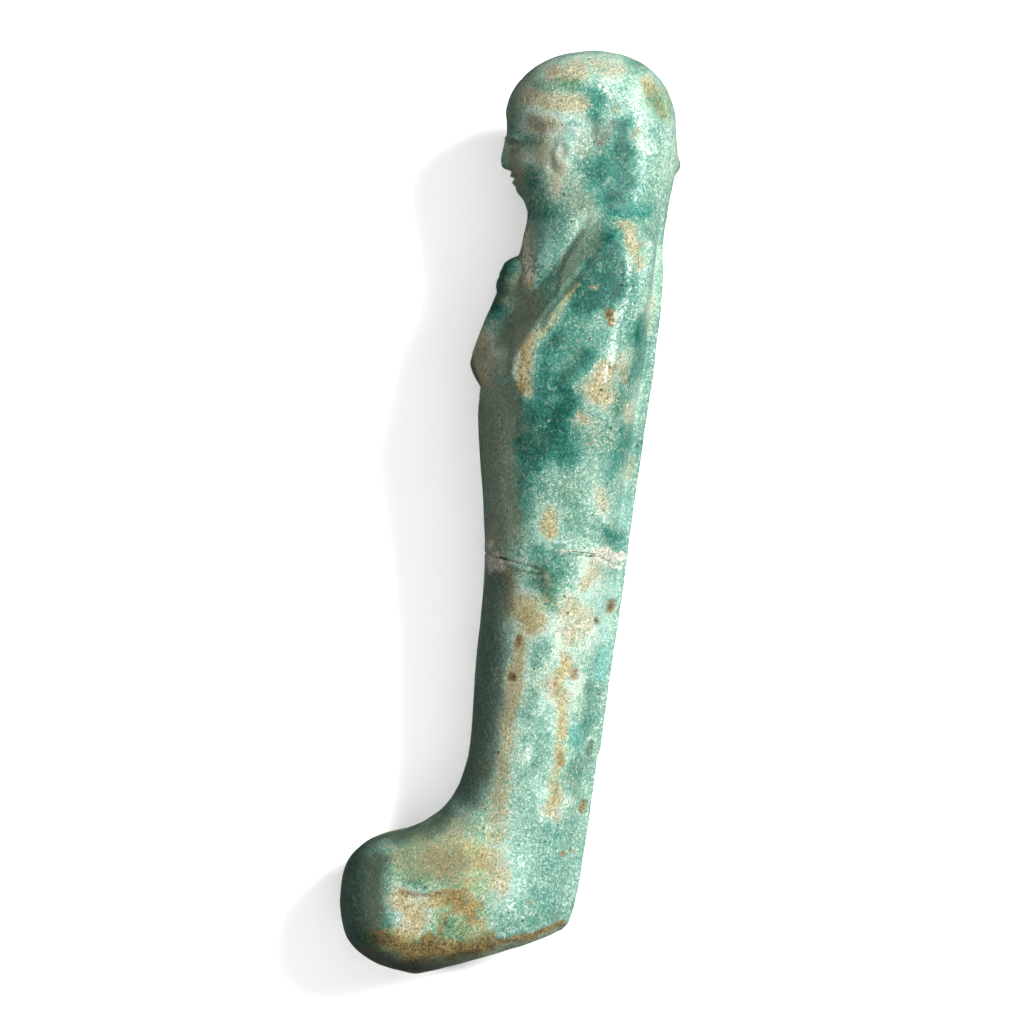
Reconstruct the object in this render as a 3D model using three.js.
// A small Egyptian faience ushabti: a mummy-shaped figure in a long wig with crossed arms,
// a narrow pillar down its back and feet that jut forward. It was moulded as one piece, later
// broken below the waist and mended. It is one closed solid, in millimetres.
//
// The figure is worked out upright, in hundredths of its own height: x forward, y to its own
// left and z up along the back pillar. Its feet slope underneath, so it can't stand. It is then
// laid on its right side: +Z up, the face to -Y and the crown to -X.

import * as THREE from 'three';

// Driving dimensions, in millimetres
const figureHeight = 112.6; // toe underside to crown
const shoulderWidth = 25.8; // across the chest, without the raised arms
const wigWidth = 20.2;
const footWidth = 18.8;
const pillarWidth = 9.4;
const pillarDepth = 1.1;
const pillarChipDepth = 0.3; // lost from the foot of the pillar
const sleeveRelief = 2.0;
const lappetRelief = 1.0;
const hemRelief = 0.3; // back of the wig over the shoulders
const forearmRelief = 1.9;
const fistRelief = 2.4;
const faceRecess = 0.3;
const faceTurn = 0.45; // how much further the sides of the face lie back
const earRelief = 0.8;
const nubRelief = 0.9; // a lump of glaze behind the head
const breakGroove = 0.4;
const restFlatDepth = 0.3; // wear flats on the right elbow and foot

const percent = figureHeight / 100;
const hundredths = (millimetres) => millimetres / percent;

const breakHeight = 45.5;
const breakLip = 0.25; // half the width of the groove along the break
const [lipBelow, lipAbove] = [breakHeight - breakLip, breakHeight + breakLip];

// Stations from the underside to the crown. Each one is a flat section through a point of the
// front profile and a point of the back profile, [x, z]. wide is its width as a share of the
// zone's, mid is how far the widest point lies from the back, full is 2 for an oval and more for
// a boxier section, pillar is the share of the pillar that stands out there, and rows is the
// number of mesh rows that follow. Over the foot the sections fan round the heel.
const foot = [
  { front: [16.8, 0.15], back: [0.9, 7.2], wide: 0.8, mid: 8.6, full: 2.9, pillar: 0.7, rows: 2 },
  { front: [20.6, 0.75], back: [0.6, 7.9], wide: 0.94, mid: 9.6, full: 2.9, pillar: 1, rows: 2 },
  { front: [23.4, 2.4], back: [0.45, 8.8], wide: 0.99, mid: 10.6, full: 2.9, pillar: 1, rows: 2 },
  { front: [24.8, 5.0], back: [0.3, 9.9], wide: 1, mid: 11, full: 2.9, pillar: 1, rows: 2 },
  { front: [25.2, 8.4], back: [0.2, 11.1], wide: 1, mid: 11, full: 2.8, pillar: 1, rows: 2 },
  { front: [24.8, 11.0], back: [0.1, 12.4], wide: 0.99, mid: 10.5, full: 2.7, pillar: 1, rows: 2 },
  { front: [23.5, 12.9], back: [0, 13.8], wide: 0.975, mid: 9.8, full: 2.6, pillar: 1, rows: 1 },
  { front: [21.5, 14.2], back: [0, 15.3], wide: 0.96, mid: 9, full: 2.5, pillar: 1, rows: 1 },
  { front: [19.0, 15.25], back: [0, 16.9], wide: 0.945, mid: 8.2, full: 2.4, pillar: 1, rows: 1 },
  { front: [17.0, 16.5], back: [0, 18.6], wide: 0.935, mid: 7.6, full: 2.35, pillar: 1, rows: 1 },
  { front: [15.4, 18.2], back: [0, 20.4], wide: 0.93, mid: 7.2, full: 2.3, pillar: 1, rows: 1 },
  { front: [14.3, 20.6], back: [0, 22.3], wide: 0.925, mid: 7, full: 2.3, pillar: 1, rows: 1 },
  { front: [13.8, 23.6], back: [0, 24.4], wide: 0.93, mid: 6.9, full: 2.3, pillar: 1, rows: 2 },
];
const body = [
  { at: 28, front: 13.9, back: 0, wide: 0.685, mid: 6.9, full: 2.3, pillar: 1, rows: 2 },
  { at: 34, front: 14.3, back: 0, wide: 0.722, mid: 7, full: 2.3, pillar: 1, rows: 2 },
  { at: 40, front: 14.5, back: 0, wide: 0.77, mid: 7, full: 2.3, pillar: 1, rows: 2 },
  { at: 43.9, front: 14.85, back: 0, wide: 0.806, mid: 7.1, full: 2.3, pillar: 1, rows: 1 },
  { at: lipBelow, front: 15, back: 0, wide: 0.819, mid: 7.15, full: 2.3, pillar: 1, rows: 1 },
  { at: breakHeight, front: 15.05, back: 0, wide: 0.821, mid: 7.15, full: 2.3, pillar: 1, rows: 1 },
  { at: lipAbove, front: 15.1, back: 0, wide: 0.823, mid: 7.15, full: 2.3, pillar: 1, rows: 1 },
  { at: 47.1, front: 15.3, back: 0, wide: 0.835, mid: 7.2, full: 2.3, pillar: 1, rows: 2 },
  { at: 52.5, front: 16.3, back: 0, wide: 0.88, mid: 7.3, full: 2.35, pillar: 1, rows: 2 },
  { at: 57.5, front: 17.3, back: 0, wide: 0.915, mid: 7.4, full: 2.45, pillar: 1, rows: 2 },
  { at: 61, front: 17.75, back: 0, wide: 0.935, mid: 7.4, full: 2.5, pillar: 1, rows: 4 },
  { at: 65, front: 17.6, back: 0, wide: 0.95, mid: 7.3, full: 2.5, pillar: 1, rows: 4 },
  { at: 69, front: 16.9, back: 0, wide: 0.965, mid: 7.1, full: 2.5, pillar: 1, rows: 4 },
  { at: 73, front: 15.8, back: 0.1, wide: 0.975, mid: 6.8, full: 2.45, pillar: 1, rows: 5 },
  { at: 77, front: 15.1, back: 0.3, wide: 0.96, mid: 6.4, full: 2.4, pillar: 1, rows: 3 },
  { at: 79.6, front: 14.9, back: 0.5, wide: 0.92, mid: 6.2, full: 2.3, pillar: 0.8, rows: 2 },
  { at: 81.4, front: 15.1, back: 0.5, wide: 0.85, mid: 6.4, full: 2.2, pillar: 0.5, rows: 2 },
];
const wigged = [
  { at: 83.2, front: 16.1, back: 0.5, wide: 0.985, mid: 7.2, full: 2.15, pillar: 0.2, rows: 3 },
  { at: 85, front: 17.5, back: 0.6, wide: 0.965, mid: 7.8, full: 2.15, pillar: 0, rows: 4 },
  { at: 87.5, front: 18.6, back: 0.4, wide: 0.98, mid: 8.2, full: 2.15, pillar: 0, rows: 4 },
  { at: 90, front: 19.1, back: 0.4, wide: 1, mid: 8.6, full: 2.1, pillar: 0, rows: 4 },
  { at: 92.3, front: 19.25, back: 0.85, wide: 0.975, mid: 9, full: 2.1, pillar: 0, rows: 2 },
  { at: 94.8, front: 18.6, back: 1.4, wide: 0.885, mid: 9.2, full: 2.05, pillar: 0, rows: 2 },
  { at: 97.1, front: 16.9, back: 2.6, wide: 0.72, mid: 9, full: 2, pillar: 0, rows: 2 },
  { at: 98.9, front: 14.2, back: 4.6, wide: 0.46, mid: 8.9, full: 2, pillar: 0, rows: 2 },
  { at: 99.8, front: 11.3, back: 7.0, wide: 0.2, mid: 8.9, full: 2, pillar: 0, rows: 1 },
  { at: 100, front: 8.95, back: 8.95, wide: 0, mid: 8.95, full: 2, pillar: 0, rows: 0 },
];
const level = ({ at, front, back, ...rest }) => ({ ...rest, front: [front, at], back: [back, at] });
const sized = (zone, width) => zone.map((s) => ({ ...s, half: hundredths(width / 2) * s.wide }));
const stations = [
  ...sized(foot, footWidth),
  ...sized(body.map(level), shoulderWidth),
  ...sized(wigged.map(level), wigWidth),
];

// Small tools for curves and soft edges
const clamp = (value, low, high) => Math.min(high, Math.max(low, value));
const mix = (from, to, share) => from + (to - from) * share;

function soft(from, to, value) {
  const share = clamp((value - from) / (to - from), 0, 1);
  return share * share * (3 - 2 * share);
}

// A slope that ends in a crease at its top
function slope(foot, top, value) {
  return clamp((value - foot) / (top - foot), 0, 1) ** 1.6;
}

function bell(distance, reach) {
  return Math.exp(-((distance / reach) ** 2));
}

// The second value of [first, second] pairs at a first value in between them
function along(pairs, at) {
  if (at <= pairs[0][0]) return pairs[0][1];
  for (let i = 1; i < pairs.length; i++) {
    const [low, high] = [pairs[i - 1], pairs[i]];
    if (at <= high[0]) return mix(low[1], high[1], (at - low[0]) / (high[0] - low[0]));
  }
  return pairs.at(-1)[1];
}

function distanceToPath(point, path) {
  const segment = new THREE.Line3();
  const nearest = new THREE.Vector3();
  let least = Infinity;
  for (let i = 1; i < path.length; i++) {
    segment.set(path[i - 1], path[i]).closestPointToPoint(point, true, nearest);
    least = Math.min(least, nearest.distanceTo(point));
  }
  return least;
}

// The section at a station number, with its values on a smooth curve through the stations
function sectionAt(number) {
  const from = clamp(Math.floor(number), 0, stations.length - 2);
  const share = number - from;
  const around = [-1, 0, 1, 2].map((step) => stations[clamp(from + step, 0, stations.length - 1)]);
  const curve = (read) => {
    const [before, start, end, after] = around.map(read);
    const leave = (end - before) / 2;
    const arrive = (after - start) / 2;
    const bend = 3 * (end - start) - 2 * leave - arrive;
    const turn = 2 * (start - end) + leave + arrive;
    return start + share * (leave + share * (bend + share * turn));
  };
  const back = new THREE.Vector2(curve((s) => s.back[0]), curve((s) => s.back[1]));
  const front = new THREE.Vector2(curve((s) => s.front[0]), curve((s) => s.front[1]));
  const depth = back.distanceTo(front);
  const pillar = clamp(curve((s) => s.pillar), 0, 1);
  return {
    back,
    forward: depth > 0 ? front.clone().sub(back).divideScalar(depth) : new THREE.Vector2(1, 0),
    depth,
    half: Math.max(0, curve((s) => s.half)),
    mid: Math.min(curve((s) => s.mid), depth * 0.6),
    full: curve((s) => s.full),
    pillar,
    skin: pillar * hundredths(pillarDepth), // where the body's own back starts
  };
}

// Columns of the mesh round half a section: angles over the front, then shares of the way in
// from the widest point to the pillar, then the pillar's own face
const frontAngles = [0, 3.6, 7.2, 11, 15, 19, 23, 27.5, 32, 37, 42, 48, 54, 60.5, 67, 73, 79, 84.5, 90];
const backAngles = [72, 54, 36, 18, 0];
const pillarShares = [0.93, 0.5, 0];

function backDistance(section, across) {
  const share = clamp(across / section.half, 0, 1);
  const reach = (1 - share ** section.full) ** (1 / section.full);
  return section.mid - (section.mid - section.skin) * reach;
}

// [distance forward from the back, distance out from the middle] for every column
function halfSection(section) {
  const { half, mid, depth, full } = section;
  if (half === 0) return null;
  const pillarEdge = Math.min(hundredths(pillarWidth / 2), half * 0.5);
  const front = frontAngles.map((degrees) => {
    const angle = THREE.MathUtils.degToRad(degrees);
    const forward = Math.max(0, Math.cos(angle)) ** (2 / full);
    return [mid + (depth - mid) * forward, half * Math.sin(angle) ** (2 / full)];
  });
  const back = backAngles.map((degrees) => {
    const across = mix(pillarEdge, half, Math.sin(THREE.MathUtils.degToRad(degrees)));
    return [backDistance(section, across), across];
  });
  const chip = hundredths(pillarChipDepth) * (1 - soft(25.6, 26.6, section.back.y));
  const pillar = pillarShares.map((share) => {
    const across = pillarEdge * share;
    return [mix(backDistance(section, across), chip, section.pillar), across];
  });
  return [...front, ...back, ...pillar];
}

// Edges of the carving, as [height, x] or [height, y] pairs
const armRidge = [
  [62.2, 12.8], [64.1, 13.9], [65.7, 13.8], [68.9, 12.4],
  [71.3, 11.3], [75.5, 9.1], [78.7, 6.9], [80.5, 5.4],
];
const armBack = [[63.7, 5.3], [66.4, 4.7], [70.9, 3.8], [74.2, 3.1], [81.2, 3.3]];
const armFoot = [[62, 15.6], [66, 17], [70, 15.2], [73, 14.4], [76.5, 12.3], [78.7, 11], [82.1, 8.5]];
const lappetRear = [[72.5, 14.4], [74, 13.2], [76.5, 12.1], [78.7, 10.9], [82.1, 8.4], [83.5, 5.7]];
const lappetInner = [[73, 2.1], [80, 2.4], [82.5, 3.3], [84.5, 5.4], [86, 6.9]];
const lappetEnd = 73;
const wigTop = 85; // above it the whole head is wig or face
const edge = 0.55; // half the width of a worn edge

// Upper arm: a flat side between two ridges, with a slope down to the chest before it
function sleeve({ x, z }) {
  const sides = slope(along(armFoot, z), along(armRidge, z), x) * slope(0.9, along(armBack, z), x);
  return hundredths(sleeveRelief) * sides * soft(56, 65, z) * (1 - soft(78.6, 82.6, z));
}

// Crossed forearms, from each elbow over the middle of the chest to the opposite fist
const forearmPath = [
  [13.4, 9.6, 64.6], [16.4, 5.6, 65], [17.5, 1.6, 66], [17.3, -1.6, 68.4], [16.4, -3.6, 72.5],
];
const forearmReach = 2.7;
const overArm = -1; // the right arm lies over the left
const underShare = 0.75;

function forearm(point, side) {
  const path = forearmPath.map(([x, y, z]) => new THREE.Vector3(x, y * side, z));
  const away = distanceToPath(point, path) / forearmReach;
  const over = side === overArm ? 1 : underShare;
  return hundredths(forearmRelief) * over * (1 - soft(0.3, 1.25, away));
}

const fistAt = { y: 4, z: 74.2 };
const fistReach = { y: 2.6, z: 2.9 };

function fist(point, side) {
  const [across, up] = [point.y - side * fistAt.y, point.z - fistAt.z];
  const away = Math.hypot(across / fistReach.y, up / fistReach.z);
  return hundredths(fistRelief) * (1 - soft(0.45, 1.25, away)) * soft(8, 10, point.x);
}

// The wig: lappets that stand out over the chest, the back that hangs over the shoulders, and
// the opening that shows face and neck
function openingShare(point) {
  const inner = along(lappetInner, point.z);
  const sides = 1 - soft(inner - edge, inner + edge, Math.abs(point.y));
  return mix(sides, 1, soft(wigTop, wigTop + 2, point.z)) * soft(6, 9, point.x);
}

function wig(point) {
  const rear = along(lappetRear, point.z);
  const raised = 1 - soft(wigTop - 3.5, wigTop, point.z);
  const ends = soft(lappetEnd - edge, lappetEnd + edge, point.z);
  const lappet = soft(rear - edge, rear + edge, point.x) * ends;
  const hem = soft(76.2, 78, point.z) * soft(8, 5, point.x) * soft(4, 5.5, Math.abs(point.y));
  const relief = hundredths(lappetRelief) * lappet + hundredths(hemRelief) * hem;
  return raised * (1 - openingShare(point)) * relief;
}

// The face is a plain, calm one. Its marks are set out on shares of the face's own height.
const face = { chin: 83.4, hairline: 91.7, half: 6.9, sides: 12.6 };
const browArch = { up: 0.7, across: 2.5, drop: 0.008 };

function faceOpening(point) {
  const y = Math.abs(point.y) / face.half;
  const hairline = face.hairline - 0.9 * y * y;
  const above = 1 - soft(hairline - edge, hairline + edge, point.z);
  const sides = soft(face.sides - edge, face.sides + edge, point.x);
  return above * sides * openingShare(point) * soft(81.5, wigTop, point.z);
}

function faceMarks(point) {
  const y = Math.abs(point.y);
  const up = (point.z - face.chin) / (face.hairline - face.chin);
  const spot = (acrossAt, upAt, acrossReach, upReach) =>
    bell(y - acrossAt, acrossReach) * bell(up - upAt, upReach);
  const noseWidth = mix(1.25, 0.65, soft(0.36, 0.62, up));
  const noseHeight = mix(0.35, 1, soft(0.72, 0.4, up)) * soft(0.29, 0.38, up) * soft(0.8, 0.66, up);
  const nose = bell(y, noseWidth) * noseHeight;
  const arch = browArch.up - browArch.drop * (y - browArch.across) ** 2;
  const brow = bell(up - arch, 0.045) * soft(0.5, 1.4, y) * (1 - soft(4.2, 5.4, y));
  const lips = spot(0, 0.25, 1.35, 0.035) + spot(0, 0.175, 1.15, 0.035);
  const cheek = spot(3.3, 0.38, 1.8, 0.15);
  const chin = spot(0, 0.06, 1.6, 0.075);
  const socket = spot(2.6, 0.59, 1.7, 0.09);
  const eye = spot(2.6, 0.58, 1.15, 0.045);
  return nose * 0.9 + brow * 0.3 + lips * 0.28 + cheek * 0.3 + chin * 0.4 + eye * 0.4 - socket * 0.5;
}

const earAt = { x: 12.6, z: 87.9 };
const earReach = { x: 1.1, z: 2 };

function ear(point) {
  const away = Math.hypot((point.x - earAt.x) / earReach.x, (point.z - earAt.z) / earReach.z);
  return hundredths(earRelief) * (1 - soft(0.45, 1.2, away)) * (1 - 0.4 * bell(away, 0.4));
}

const nubAt = { y: -0.6, z: 89.1 };
const nubReach = 0.9;

function head(point) {
  const back = hundredths(faceRecess) + hundredths(faceTurn) * soft(1.5, face.half, Math.abs(point.y));
  const nub = bell(Math.hypot(point.y - nubAt.y, point.z - nubAt.z), nubReach) * soft(4, 2, point.x);
  return faceOpening(point) * (faceMarks(point) - back) + ear(point) + hundredths(nubRelief) * nub;
}

// How far the carving stands out from the plain form at a point of it
function carving(point) {
  const arms = Math.max(forearm(point, 1), forearm(point, -1), fist(point, 1), fist(point, -1));
  const groove = hundredths(breakGroove) * (1 - soft(0, breakLip, Math.abs(point.z - breakHeight)));
  return Math.max(arms, wig(point), sleeve(point)) + head(point) - groove;
}

// The break wanders: [x, height] on the left, as it shows, and a guess on the right
const breakLeft = [
  [0, 46], [1.4, 46], [3, 46.65], [5.4, 46.5], [7.7, 45.9], [8.9, 44.5], [12.2, 44.9], [15, 45.3],
];
const breakRight = [[0, 46], [3, 45.2], [6.5, 45.6], [10, 46.3], [13, 45.7], [15, 45.3]];
const breakShiftReach = 1.6;

function breakShift(point) {
  const seam = along(point.y > 0 ? breakLeft : breakRight, point.x);
  return (seam - breakHeight) * (1 - soft(breakLip, breakShiftReach, Math.abs(point.z - breakHeight)));
}

// The skin: rings of columns round the figure, from the underside to the crown
function ring(number) {
  const section = sectionAt(number);
  const half = halfSection(section);
  const place = ([forward, across], side) => {
    const at = section.back.clone().addScaledVector(section.forward, forward);
    return new THREE.Vector3(at.x, across * side, at.y);
  };
  const left = half.map((spot) => place(spot, 1));
  const right = half.slice(1, -1).reverse().map((spot) => place(spot, -1));
  return [...left, ...right];
}

function carvedRings() {
  const numbers = stations.flatMap(({ rows }, i) => Array.from({ length: rows }, (_, row) => i + row / rows));
  const plain = numbers.map(ring);
  return plain.map((columns, row) => columns.map((point, column) => {
    const next = columns[(column + 1) % columns.length];
    const last = columns.at(column - 1);
    const above = plain[Math.min(row + 1, plain.length - 1)][column];
    const below = plain[Math.max(row - 1, 0)][column];
    const round = next.clone().sub(last);
    const outward = round.cross(above.clone().sub(below)).normalize();
    const carved = point.clone().addScaledVector(outward, carving(point));
    carved.z += breakShift(point);
    return carved.multiplyScalar(percent);
  }));
}

function skinTriangles(rings, points) {
  const columns = rings[0].length;
  const triangles = [];
  const at = (row, column) => row * columns + (column % columns);
  for (let row = 0; row < rings.length - 1; row++) {
    for (let column = 0; column < columns; column++) {
      const [a, b] = [at(row, column), at(row, column + 1)];
      const [d, c] = [at(row + 1, column), at(row + 1, column + 1)];
      const short = points[a].distanceTo(points[c]) <= points[b].distanceTo(points[d]);
      triangles.push(...(short ? [a, b, c, a, c, d] : [a, b, d, b, c, d]));
    }
  }
  const underside = points.length - 2;
  const crown = points.length - 1;
  for (let column = 0; column < columns; column++) {
    triangles.push(at(0, column + 1), at(0, column), underside);
    triangles.push(at(rings.length - 1, column), at(rings.length - 1, column + 1), crown);
  }
  return triangles;
}

// The plane that the figure lies on touches its right elbow and its right foot:
// -y = reach + slope * z
function restPlane(points) {
  const foot = points.filter((point) => point.z < 25 * percent);
  const torso = points.filter((point) => point.z > 50 * percent);
  const reachOf = (some, slope) => Math.max(...some.map((point) => -point.y - slope * point.z));
  let [low, high] = [-1, 1];
  for (let halving = 0; halving < 50; halving++) {
    const slope = (low + high) / 2;
    if (reachOf(torso, slope) > reachOf(foot, slope)) low = slope;
    else high = slope;
  }
  return { slope: low, reach: reachOf(foot, low) - restFlatDepth };
}

function wearFlats(points, { slope, reach }) {
  for (const point of points) {
    const over = Math.max(0, -point.y - slope * point.z - reach) / (1 + slope ** 2);
    point.y += over;
    point.z += over * slope;
  }
}

function layDown(mesh, { slope }) {
  const length = Math.hypot(1, slope);
  const turn = new THREE.Matrix4().makeBasis(
    new THREE.Vector3(0, -1, 0),
    new THREE.Vector3(slope / length, 0, 1 / length),
    new THREE.Vector3(-1 / length, 0, slope / length),
  );
  mesh.quaternion.setFromRotationMatrix(turn);
  mesh.updateMatrixWorld(true);
  const box = new THREE.Box3().setFromObject(mesh, true);
  mesh.position.set(-(box.min.x + box.max.x) / 2, -(box.min.y + box.max.y) / 2, -box.min.z);
}

function makeUshabti() {
  const rings = carvedRings();
  const points = rings.flat();
  const underside = new THREE.Vector3();
  rings[0].forEach((point) => underside.addScaledVector(point, 1 / rings[0].length));
  const crown = new THREE.Vector3(stations.at(-1).front[0], 0, stations.at(-1).front[1]);
  points.push(underside, crown.multiplyScalar(percent));
  const plane = restPlane(points);
  wearFlats(points, plane);
  const geometry = new THREE.BufferGeometry().setFromPoints(points);
  geometry.setIndex(skinTriangles(rings, points));
  geometry.computeVertexNormals();
  const faience = new THREE.MeshStandardMaterial({ color: 0x6fae9c, roughness: 0.42, metalness: 0 });
  const mesh = new THREE.Mesh(geometry, faience);
  mesh.name = 'ushabti_figure';
  layDown(mesh, plane);
  return mesh;
}

const group = new THREE.Group();
group.add(makeUshabti());
export default group;
